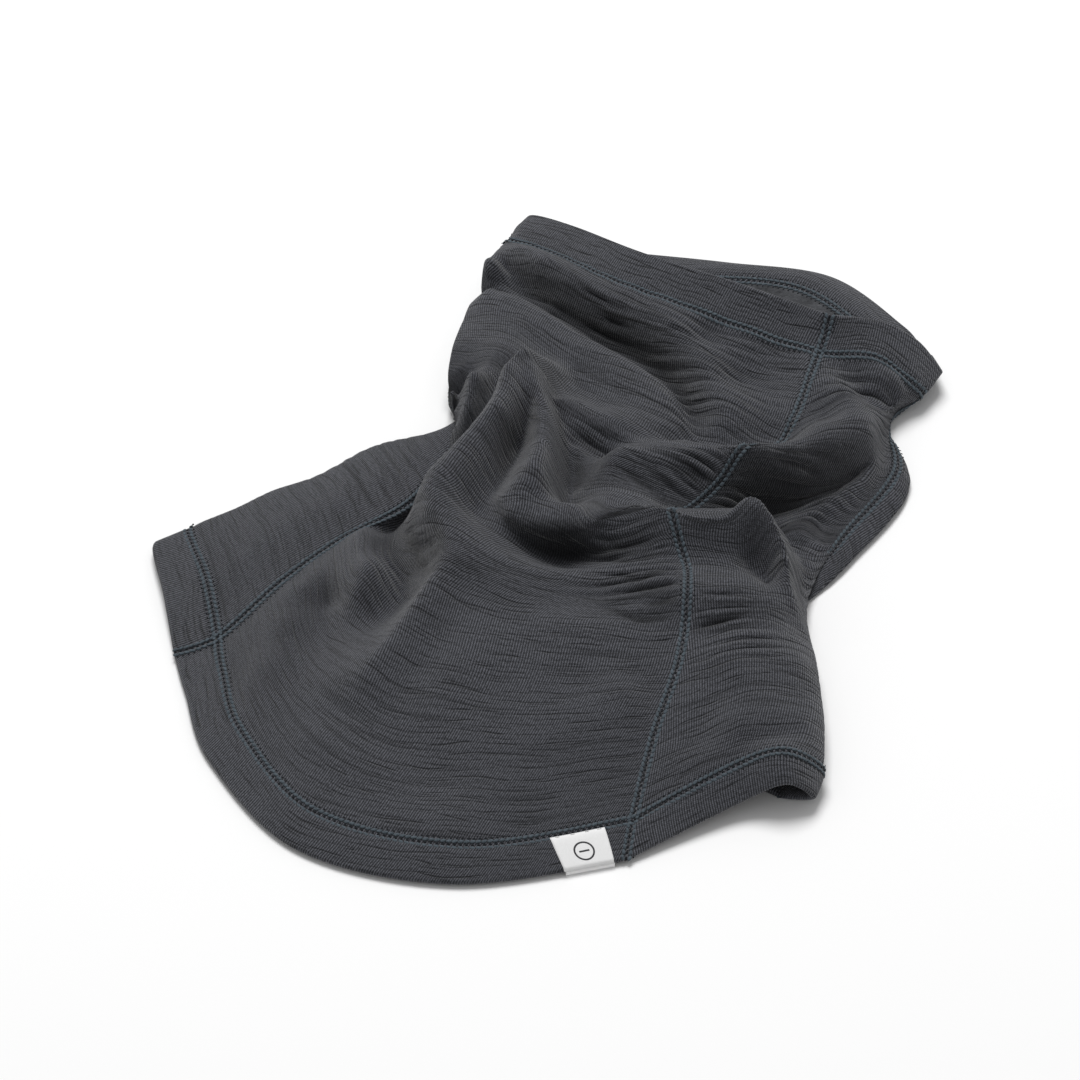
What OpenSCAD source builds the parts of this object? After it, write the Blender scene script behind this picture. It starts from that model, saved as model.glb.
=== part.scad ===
// Knitted balaclava tube lying loosely on a flat surface, in millimetres.
// Origin: centre of the footprint on the surface it lies on.
// +X: to the right across the garment, +Y: from the bottom hem to the top hem, +Z: up.
// The tube is open at both ends. Four knitted panels are joined by four flat seams.

/* [Fabric] */
// thickness of one layer of the double knit
cloth_t = 2.0; // [1.4:0.1:3]
// thickness of a turned hem, two layers
hem_t = 3.4; // [2.4:0.1:5]
// thickness of the lower layer, which lies flat
lower_t = 2.2; // [1.6:0.1:3]

/* [Hems and seams] */
// height of both turned hems, edge to stitch line
hem_w = 20; // [15:1:26]
// width of a flat seam's thread
seam_w = 5; // [3:0.5:8]
// width of a hem's cover stitch
cover_w = 6; // [4:0.5:8]
// thickness of the stitching on top of the cloth
thread_t = 0.6; // [0.3:0.1:1.2]

/* [Folds] */
// scale on the height of every crumple fold
fold_height = 1.0; // [0:0.1:1.4]
// half width of a crumple fold
fold_w = 13; // [9:1:20]

/* [Label] */
// width of the woven label along the hem
label_w = 24; // [16:1:30]
// depth of the woven label from the hem edge
label_d = 19; // [12:1:22]
// thickness of the label tape
label_t = 0.8; // [0.4:0.1:1.5]

/* [Quality] */
// steps across the front panel
steps_u = 26; // [12:1:48]
// steps along the garment
steps_v = 45; // [18:9:81]

/* [Hidden] */

knit = [0.23, 0.24, 0.26];
knit_side = [0.25, 0.27, 0.29];
thread = [0.22, 0.27, 0.31];
tape = [0.95, 0.95, 0.95];
print_c = [0.15, 0.15, 0.16];

// rows of the control net: 0 hem edge, 1 hem stitch, 2 to 7 body, 8 top stitch, 9 top edge
last = 9;
gap = 0.3;

// front left seam
line_a = [[-122, -143, 4], [-106, -129, 7.5], [-94, -88, 12], [-80, -50, 13], [-60, -14, 14],
          [-68, 38, 9], [-82, 82, 7.5], [-90, 128, 7.5], [-96, 170, 9], [-95, 191, 9]];
// left shoulder of the front panel; in the neck it is the rounded left fold
line_s = [[-106, -163, 4], [-94, -148, 8], [-84, -102, 14], [-72, -62, 18], [-56, -22, 24],
          [-58, 28, 28], [-80, 74, 21], [-86, 125, 21], [-91, 166, 19], [-89, 188, 19]];
// left quarter of the front panel, over the steep fold
line_f1 = [[-76, -197, 4], [-68, -179, 8], [-62, -130, 18], [-55, -85, 26], [-48, -38, 34],
           [-44, 15, 38], [-46, 62, 38], [-66, 115, 24], [-66, 160, 22], [-64, 180, 25]];
// middle of the front panel
line_f2 = [[-15, -229, 4], [-14, -210, 9], [-12, -155, 20], [-12, -100, 30], [-8, -48, 36],
           [-6, 0, 30], [-8, 48, 34], [-26, 105, 24], [-26, 148, 30], [-22, 167, 38]];
// right quarter of the front panel
line_f3 = [[58, -218, 4], [56, -199, 9], [52, -145, 22], [48, -92, 32], [44, -42, 38],
           [36, -4, 34], [36, 42, 34], [30, 98, 22], [26, 142, 34], [28, 161, 44]];
// front right seam
line_b = [[123, -172, 4], [118, -153, 9], [109, -110, 20], [102, -65, 28], [90, -25, 34],
          [70, 4, 36], [74, 46, 34], [86, 95, 24], [82, 142, 32], [80, 160, 42]];
// crest of the right side panel
line_g1 = [[158, -124, 13], [152, -108, 19], [143, -78, 25], [128, -45, 30], [112, -12, 36],
           [94, 16, 32], [100, 60, 28], [112, 104, 22], [106, 152, 26], [106, 170, 33]];
// shoulder of the right side panel just before its fold
line_g2 = [[180, -107, 13], [180, -90, 15], [170, -62, 16], [152, -30, 18], [130, 0, 18],
           [114, 28, 14], [120, 64, 14], [128, 110, 14], [122, 158, 18], [123, 177, 20]];
// back right seam, on top of the lower layer's right margin
line_c = [[183, -100, 6], [181, -82, 5], [170, -50, 3.4], [152, -18, 3.4], [134, 5, 4.2],
          [127, 26, 5], [135, 64, 5], [137, 112, 5], [128, 157, 9], [130, 175, 10]];
// middle of the left side panel
line_l1 = [[-142, -113, 6], [-128, -98, 9], [-113, -62, 12], [-97, -30, 13], [-78, 4, 13],
           [-74, 42, 7], [-84, 84, 6], [-92, 128, 6], [-98, 170, 6.5], [-97, 192, 6.5]];
// left fold, where the left side panel turns under
line_l2 = [[-161, -84, 3.6], [-150, -70, 3.8], [-132, -38, 4], [-112, -12, 4], [-92, 22, 4],
           [-79, 46, 3.8], [-84, 87, 3.8], [-90, 128, 3.8], [-96, 170, 4], [-95, 193, 4]];

front_net = [line_a, line_s, line_f1, line_f2, line_f3, line_b];
right_net = [line_b, line_g1, line_g2, line_c];
left_net = [line_l2, line_l1, line_a];

// crumple folds: start x y, end x y, height at start and end
folds = [
  [[-36, 62], [-44, 5], 20, 15],      // steep ridge, upper part
  [[-44, 5], [-44, -35], 14, 10],     // steep ridge, lower part
  [[-28, 52], [2, 10], 14, 8],        // second crease from the same apex
  [[8, 6], [34, 36], 12, 14],         // cross ridge, left end
  [[34, 36], [90, 54], 13, 15],       // cross ridge, middle
  [[90, 54], [118, 80], 15, 12],      // cross ridge, right end
  [[-8, -20], [28, -36], 6, 10],      // lip of the pocket
  [[28, -36], [45, -14], 10, 12],     // lip of the pocket, right side
  [[45, -12], [76, -2], 12, 12],      // crest of the bib
  [[98, 18], [140, -12], 12, 8],      // shoulder of the side panel
  [[-24, -60], [-26, -118], 7, 4],    // soft rib down the bib
  [[-14, -4], [4, -12], -10, -8],     // pocket
  [[68, 22], [120, 74], -8, -6],      // valley behind the bib
  [[-45, 132], [36, 104], -5, -4],    // hollow under the top hem
  [[-80, 68], [-84, 108], 9, 9],      // left bulge
];

// ---- functions ----
function clamp01(t) = max(0, min(1, t));
function at(a, i) = a[max(0, min(len(a) - 1, i))];
// smooth curve through a list, t counts list items
function run(a, t) =
  let (i = min(floor(t), len(a) - 2), f = t - i,
       p0 = at(a, i - 1), p1 = at(a, i), p2 = at(a, i + 1), p3 = at(a, i + 2))
  0.5 * (2 * p1 + f * (p2 - p0) + f * f * (2 * p0 - 5 * p1 + 4 * p2 - p3)
         + f * f * f * (3 * p1 - p0 - 3 * p2 + p3));
// point of a net: u counts columns, v counts rows
function net_point(net, u, v) = run([for (c = net) run(c, v)], u);

function seg_t(p, a, b) = clamp01(((p - a) * (b - a)) / ((b - a) * (b - a)));
function fold_lift(x, y, i = 0) = i >= len(folds) ? 0 :
  let (f = folds[i], p = [x, y], t = seg_t(p, f[0], f[1]),
       d = norm(p - (f[0] + t * (f[1] - f[0]))))
  exp(-d * d / (fold_w * fold_w)) * (f[2] + t * (f[3] - f[2])) + fold_lift(x, y, i + 1);
// folds die out towards both hems and the two long edges
function fade(v) = clamp01((v - 1) / 1.2) * clamp01((8 - v) / 1.2);

function front_at(u, v) =
  let (p = net_point(front_net, u, v), e = clamp01(u / 1.2))
  [p[0], p[1], p[2] + fold_height * fade(v) * e * fold_lift(p[0], p[1])];
function right_at(u, v) =
  let (p = net_point(right_net, u, v), e = clamp01((3 - u) / 1.2))
  [p[0], p[1], p[2] + fold_height * fade(v) * e * fold_lift(p[0], p[1])];
function left_at(u, v) = net_point(left_net, u, v);

function unit(a) = a / max(norm(a), 0.000001);
function nrm(g, i, j) =
  let (a = at(g, i + 1), b = at(g, i - 1), c = g[i])
  unit(cross(at(a, j) - at(b, j), at(c, j + 1) - at(c, j - 1)));
function band_t(v) = cloth_t + (hem_t - cloth_t) *
  max(clamp01((1.25 - v) / 0.25), clamp01((v - 7.75) / 0.25));

// closed sheet from a grid of outer points and a list of thicknesses per row
module sheet(g, tk) {
  m = len(g);
  n = len(g[0]);
  inner = [for (i = [0 : m - 1]) [for (j = [0 : n - 1]) g[i][j] - nrm(g, i, j) * tk[j]]];
  pts = concat([for (r = g) each r], [for (r = inner) each r]);
  k = m * n;
  top = [for (i = [0 : m - 2]) for (j = [0 : n - 2]) each
    [[i * n + j, i * n + j + 1, i * n + n + j + 1], [i * n + j, i * n + n + j + 1, i * n + n + j]]];
  bot = [for (f = top) [f[0] + k, f[2] + k, f[1] + k]];
  ring = concat([for (j = [0 : n - 1]) j], [for (i = [1 : m - 1]) i * n + n - 1],
    [for (j = [n - 2 : -1 : 0]) (m - 1) * n + j], [for (i = [m - 2 : -1 : 1]) i * n]);
  rim = [for (s = [0 : len(ring) - 1]) let (a = ring[s], b = ring[(s + 1) % len(ring)])
    each [[a, a + k, b + k], [a, b + k, b]]];
  polyhedron(points = pts, faces = concat(top, bot, rim), convexity = 8);
}

// flat band of thread that follows a line of frames: point, across, up
module band(frames, w, lift, t) {
  n = len(frames);
  pts = [for (f = frames) each [
    f[0] - f[1] * w / 2 + f[2] * lift,
    f[0] - f[1] * w / 4 + f[2] * (lift + t),
    f[0] + f[1] * w / 4 + f[2] * (lift + t),
    f[0] + f[1] * w / 2 + f[2] * lift]];
  side = [for (i = [0 : n - 2]) for (s = [0 : 3])
    let (a = 4 * i + s, b = 4 * i + (s + 1) % 4)
    each [[a, b, b + 4], [a, b + 4, a + 4]]];
  e = 4 * (n - 1);
  ends = [[0, 3, 2], [0, 2, 1], [e, e + 1, e + 2], [e, e + 2, e + 3]];
  polyhedron(points = pts, faces = concat(side, ends), convexity = 6);
}

function rows(a, b, n) = [for (j = [0 : n]) a + (b - a) * j / n];
function frame_of(p, px, py) = let (n = unit(cross(px, py)), y = unit(py)) [p, unit(cross(y, n)), n];
// frames along a column, w = 0 front, 1 right, 2 left
function surf(w, u, v) = w == 0 ? front_at(u, v) : w == 1 ? right_at(u, v) : left_at(u, v);
function col_frame(w, u, v, e = 0.04) =
  frame_of(surf(w, u, v), surf(w, u + e, v) - surf(w, u - e, v),
           surf(w, u, min(v + e, last)) - surf(w, u, max(v - e, 0)));
// frame on a seam between two sheets, facing halfway between them
function shared(f, g) = let (n = unit(f[2] + g[2]), y = cross(f[2], f[1]))
  [(f[0] + g[0]) / 2, -unit(cross(y, n)), n];
function turned(f) = [f[0], -unit(cross(f[1], f[2])), f[2]];

// ---- lower layer outlines ----
function smooth2(a, n) = [for (i = [0 : (len(a) - 1) * n]) run(a, i / n)];
left_edge = [[-161, -83], [-152, -68], [-134, -38], [-114, -11], [-94, 22], [-80, 50],
             [-85, 88], [-91, 128], [-97, 172], [-97, 196]];
left_rim = [[-97, 196], [-72, 197], [-45, 198]];
seam_d = [[-45, 198], [-43, 150], [-46, 100], [-52, 50], [-66, 0], [-86, -50], [-106, -96]];
left_hem = [[-106, -96], [-134, -90], [-161, -83]];
far_rim = [[-45, 198], [-22, 202], [2, 212], [28, 221], [53, 225], [77, 220], [98, 210],
           [120, 195], [136, 179]];
right_edge = [[136, 179], [132, 164], [132, 148], [141, 126], [148, 104], [150, 84], [148, 62],
              [141, 40], [134, 18], [134, 0], [147, -22], [163, -54], [174, -82], [177, -100]];
back_hem = [[177, -100], [150, -112], [100, -125], [50, -132], [0, -130], [-50, -118], [-106, -96]];

left_outline = concat(smooth2(left_edge, 4), smooth2(left_rim, 3), smooth2(seam_d, 4),
                      smooth2(left_hem, 3));
back_outline = concat(smooth2([for (i = [6 : -1 : 0]) seam_d[i]], 4), smooth2(far_rim, 4),
                      smooth2(right_edge, 4), smooth2(back_hem, 4));

function inward(a, w) = [for (i = [0 : len(a) - 1])
  let (d = unit(at(a, i + 1) - at(a, i - 1))) a[i] + w * [d[1], -d[0]]];
module strip2(a, from, to, z0, z1) {
  p = concat(inward(a, from), [for (i = [len(a) - 1 : -1 : 0]) inward(a, to)[i]]);
  translate([0, 0, z0]) linear_extrude(z1 - z0) polygon(p);
}

// moves the garment so that its footprint is centred on the origin
module place() translate([-12, 2.5, 0]) children();

// ---- pieces ----
front_us = rows(0.02, 4.98, steps_u);
right_us = rows(0.04, 3, round(steps_u / 2));
module front_panel() place() color(knit) {
  us = front_us;
  vs = rows(0, last, steps_v);
  sheet([for (u = us) [for (v = vs) front_at(u, v)]], [for (v = vs) band_t(v)]);
}
module right_side_panel() place() color(knit_side) {
  us = right_us;
  vs = rows(0, last, steps_v);
  sheet([for (u = us) [for (v = vs) right_at(u, v)]], [for (v = vs) band_t(v)]);
}
module back_panel() place() color(knit) {
  difference() {
    linear_extrude(lower_t) polygon(back_outline);
    translate([0, 0, -1]) linear_extrude(lower_t + 2) polygon(
      concat(inward(smooth2(seam_d, 4), -gap), [[-140, -96], [-140, 199]]));
  }
  strip2(smooth2([for (i = [1 : 7]) far_rim[i]], 4), 0.5, hem_w, lower_t, 2 * lower_t);
  strip2(smooth2([for (i = [1 : 5]) back_hem[i]], 4), 0.5, hem_w, lower_t, 2 * lower_t);
}
module left_side_panel() place() color(knit_side) {
  linear_extrude(lower_t) polygon(left_outline);
  vs = rows(0, last, 30);
  sheet([for (u = rows(0, 1.97, 8)) [for (v = vs) left_at(u, v)]], [for (v = vs) band_t(v)]);
}

module front_right_seam() place() color(thread)
  band([for (v = rows(0, last, steps_v)) shared(col_frame(0, 4.98, v), col_frame(1, 0.04, v))],
       seam_w, 0.8, thread_t);
module front_left_seam() place() color(thread)
  band([for (v = rows(0, last, steps_v)) shared(col_frame(0, 0.02, v), col_frame(2, 1.97, v))],
       seam_w - 1.5, 1.3, thread_t);
module back_right_seam() place() color(thread)
  band([for (v = rows(3.6, 7.8, 30)) let (f = col_frame(1, 2.94, v)) [f[0], -f[1], f[2]]],
       seam_w - 1.5, 0.5, thread_t);
module back_left_seam() place() color(thread)
  strip2(smooth2([for (i = [1 : 5]) seam_d[i]], 4), -seam_w / 2, seam_w / 2,
         lower_t + 0.2, lower_t + 0.2 + thread_t);

module top_hem_stitch() place() color(thread) {
  fr = concat([for (i = [2 : steps_u]) turned(col_frame(0, front_us[i], 8))],
              [for (i = [0 : len(right_us) - 2]) turned(col_frame(1, right_us[i], 8))]);
  band(fr, cover_w, 2.1, thread_t);
  strip2(smooth2([for (i = [1 : 7]) far_rim[i]], 4), hem_w - 6, hem_w - 1,
         2 * lower_t + 0.2, 2 * lower_t + 0.2 + thread_t);
}
module bottom_hem_stitch() place() color(thread) {
  fr = concat([for (u = rows(0.15, 1.9, 12)) turned(col_frame(2, u, 1))],
              [for (u = front_us) turned(col_frame(0, u, 1))],
              [for (i = [0 : len(right_us) - 2]) turned(col_frame(1, right_us[i], 1))]);
  band(fr, cover_w, 2.1, thread_t);
  strip2(smooth2([for (i = [1 : 5]) back_hem[i]], 4), hem_w - 6, hem_w - 1,
         2 * lower_t + 0.2, 2 * lower_t + 0.2 + thread_t);
}

// label: folded over the hem edge just left of the front right seam
label_u0 = 4.52;
label_u1 = 4.86;
function label_at(u, v, h) = let (f = col_frame(0, u, v)) f[0] + f[2] * h;
module hem_label() place() color(tape) {
  vs = rows(0, 0.78, 5);
  g = [for (u = rows(label_u0, label_u1, 6)) concat(
    [label_at(u, 0, 0) + [0.4, -1.6, -3.2]],
    [label_at(u, 0, 0) + [0.4, -1.6, -1.2]],
    [for (v = vs) label_at(u, v, 0.4 + label_t)])];
  sheet(g, [for (j = [0 : 7]) label_t]);
}
module label_mark() place() color(print_c) {
  f = col_frame(0, (label_u0 + label_u1) / 2, 0.42);
  y = turned(f)[1];
  multmatrix([[f[1][0], y[0], f[2][0], f[0][0]], [f[1][1], y[1], f[2][1], f[0][1]],
              [f[1][2], y[2], f[2][2], f[0][2] + label_t + 1.1]])
    linear_extrude(0.3) {
      difference() {
        circle(r = 4.2, $fn = 40);
        circle(r = 3.2, $fn = 40);
      }
      translate([-2.2, -0.45]) square([4.4, 0.9]);
    }
}
module label_stitches() place() color(tape) {
  for (s = [0 : 3]) {
    u = label_u0 + 0.02 + s * (label_u1 - label_u0 - 0.04) / 3;
    f = col_frame(0, u, 0.84);
    translate(f[0] + f[2] * 0.8) cube([2.4, 0.8, 0.5], center = true);
  }
}

front_panel();
right_side_panel();
back_panel();
left_side_panel();
front_right_seam();
front_left_seam();
back_right_seam();
back_left_seam();
top_hem_stitch();
bottom_hem_stitch();
hem_label();
label_mark();
label_stitches();
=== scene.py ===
"""Knitted balaclava tube, lying loosely crumpled: cloth, stitching, label, floor, light and camera."""
import math

import bmesh
import bpy
import numpy as np
from mathutils import Matrix, Vector


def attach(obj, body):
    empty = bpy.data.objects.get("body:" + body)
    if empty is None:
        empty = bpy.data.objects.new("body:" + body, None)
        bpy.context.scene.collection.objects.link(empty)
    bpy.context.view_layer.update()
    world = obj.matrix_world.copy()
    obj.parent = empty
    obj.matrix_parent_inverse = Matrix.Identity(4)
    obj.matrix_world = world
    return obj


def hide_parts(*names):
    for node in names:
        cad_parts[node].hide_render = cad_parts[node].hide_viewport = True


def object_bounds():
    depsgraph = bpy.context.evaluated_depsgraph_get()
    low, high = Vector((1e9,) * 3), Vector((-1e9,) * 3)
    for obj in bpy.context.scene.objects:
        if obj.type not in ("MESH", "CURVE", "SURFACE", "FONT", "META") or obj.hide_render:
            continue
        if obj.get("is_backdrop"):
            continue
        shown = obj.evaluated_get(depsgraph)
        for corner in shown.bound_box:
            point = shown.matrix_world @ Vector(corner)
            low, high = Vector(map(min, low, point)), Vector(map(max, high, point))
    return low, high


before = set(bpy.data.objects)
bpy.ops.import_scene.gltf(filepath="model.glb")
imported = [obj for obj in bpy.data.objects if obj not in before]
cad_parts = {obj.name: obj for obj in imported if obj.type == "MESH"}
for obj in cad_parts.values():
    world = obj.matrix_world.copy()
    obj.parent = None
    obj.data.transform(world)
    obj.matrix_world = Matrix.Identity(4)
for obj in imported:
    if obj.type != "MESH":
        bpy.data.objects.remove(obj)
low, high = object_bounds()

MM = 0.001
# the cloth is laid out in millimetres from the middle of the garment's footprint
FOOT = Vector(((low.x + high.x) / 2, (low.y + high.y) / 2, low.z))
SPREAD = ((high.x - low.x) / (346 * MM), (high.y - low.y) / (455 * MM))
LAYOUT = (-12.0, 2.5)

# millimetres, as are the control lines and folds below
CLOTH = 1.7                  # thickness of one layer of knit
HEM = 3.0                    # thickness of a turned hem, two layers
TURNED = (18.2, 20.4)        # where the second layer of a turned hem ends, from the hem's edge
HEM_STITCH = 19.2            # from the hem's edge to the middle of its cover stitch
LOWEST = 0.15                # clearance of the cloth over the floor
STITCH_PITCH = 2.7           # from one stitch to the next
RISE = 0.12                  # how far the stitching stands off the cloth
LABEL_DEPTH = 19.5           # from the hem's edge to the label's top
LABEL_SPAN = (4.578, 4.888)  # the label's sides, counted in control lines across the front panel

# ---------------------------------------------------------------- control lines of the garment
# rows: 0 bottom edge, 1 bottom stitch line, 2 to 7 body, 8 top stitch line, 9 top edge
FRONT_LEFT_SEAM = [(-122, -143, 2.2), (-106, -129, 7), (-94, -88, 11), (-80, -50, 12), (-60, -14, 14),
                   (-64, 41, 7), (-79, 69, 4), (-89, 113, 4), (-98, 169, 8), (-97, 192, 9)]
LEFT_SHOULDER = [(-106, -163, 2.2), (-94, -148, 7.5), (-84, -102, 13), (-72, -62, 17), (-56, -22, 22),
                 (-61, 35, 17), (-78, 68, 19), (-89, 116, 19), (-93, 167, 18), (-90, 188, 19)]
FRONT_LEFT = [(-76, -197, 2.2), (-68, -179, 7.5), (-62, -130, 16), (-55, -85, 22), (-48, -38, 30),
              (-44, 15, 36), (-48, 62, 36), (-66, 115, 26), (-66, 160, 25), (-64, 180, 28)]
FRONT_MIDDLE = [(-15, -229, 2.2), (-14, -210, 8), (-12, -155, 18), (-12, -100, 28), (-8, -48, 34),
                (-6, 0, 34), (-8, 48, 34), (-26, 105, 25), (-26, 148, 32), (-22, 167, 38)]
FRONT_RIGHT = [(58, -218, 2.2), (56, -199, 8), (52, -145, 20), (48, -92, 31), (44, -42, 36),
               (36, -4, 36), (36, 42, 38), (30, 98, 24), (26, 142, 35), (28, 161, 44)]
FRONT_RIGHT_SEAM = [(123, -172, 2.2), (118, -153, 8), (109, -110, 19), (102, -65, 28), (86, -22, 36),
                    (66, 6, 40), (77, 44, 44), (88, 92, 28), (82, 142, 32), (80, 160, 43)]
SIDE_CREST = [(156, -125, 8), (149, -112, 17), (141, -78, 24), (128, -45, 30), (112, -12, 34), (94, 18, 34),
              (107, 74, 34), (107, 121, 30), (104, 157, 27), (100, 176, 33)]
SIDE_SHOULDER = [(175, -111, 17), (169, -98, 23), (164, -63, 19), (149, -30, 19), (127, 2, 17), (113, 48, 11),
                 (123, 92, 24), (119, 131, 18), (121, 158, 19), (118, 180, 24)]
RIGHT_FOLD = [(186, -105, 7), (184, -90, 9), (171, -60, 9), (154, -28, 9), (136, 2, 9), (125, 50, 7),
              (133, 98, 9), (121, 142, 7), (129, 161, 10), (132, 178, 12)]
BACK_RIGHT_SEAM = [(171, -106, 1.4), (167, -91, 1.2), (155, -60, 1.2), (141, -29, 1.4), (130, 14, 3),
                   (132, 56, 5), (138, 108, 6), (121, 139, 4), (127, 164, 5), (123, 190, 7)]
BACK_OUTLINE = [(150, -106, 1.4), (148, -90, 1.1), (140, -60, 1.1), (132, -28, 1.2), (129, 4, 1.4),
                (139, 43, 2.2), (146, 100, 2.4), (120, 136, 2), (120, 162, 3), (115, 196, 4)]
BACK_RIGHT = [(100, -122, 1.5), (100, -104, 1), (98, -70, 1), (98, -30, 1), (104, 5, 1), (112, 35, 1),
              (122, 75, 1), (108, 124, 1.5), (98, 182, 8), (100, 207, 3)]
BACK_MIDDLE = [(50, -131, 1.5), (50, -112, 1.0), (50, -75, 1.0), (48, -30, 1.0), (45, 10, 1.0),
               (45, 45, 1.0), (48, 85, 1.0), (45, 132, 4), (50, 203, 10), (55, 224, 3)]
BACK_LEFT = [(0, -131, 1.5), (0, -112, 1.0), (2, -75, 1.0), (0, -30, 1.0), (0, 10, 1.0),
             (0, 45, 1.0), (0, 85, 1.0), (0, 130, 3), (2, 192, 9), (4, 212, 3)]
BACK_LEFT_SEAM = [(-106, -97, 1.5), (-98, -80, 1.0), (-86, -50, 1.0), (-74, -20, 1.0), (-66, 2, 1.0),
                  (-58, 30, 1.0), (-50, 70, 1.0), (-45, 115, 1.0), (-44, 176, 4), (-46, 198, 3)]
LEFT_UNDERSIDE = [(-146, -87, 1.5), (-138, -70, 1), (-120, -42, 1), (-100, -13, 1), (-84, 16, 1),
                  (-64, 44, 1), (-58, 69, 1), (-62, 112, 1), (-76, 172, 1.5), (-80, 194, 1.6)]
LEFT_FOLD = [(-163, -85, 4), (-152, -70, 4.5), (-134, -40, 5), (-114, -13, 5), (-95, 20, 5), (-71, 47, 3),
             (-65, 69, 1.5), (-72, 111, 1.5), (-92, 170, 3), (-94, 193, 4)]
LEFT_MIDDLE = [(-143, -113, 5), (-128, -98, 9), (-113, -62, 12), (-97, -30, 13), (-80, 4, 13), (-70, 46, 5),
               (-71, 69, 2), (-80, 112, 2), (-96, 170, 5), (-97, 193, 7)]

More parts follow.
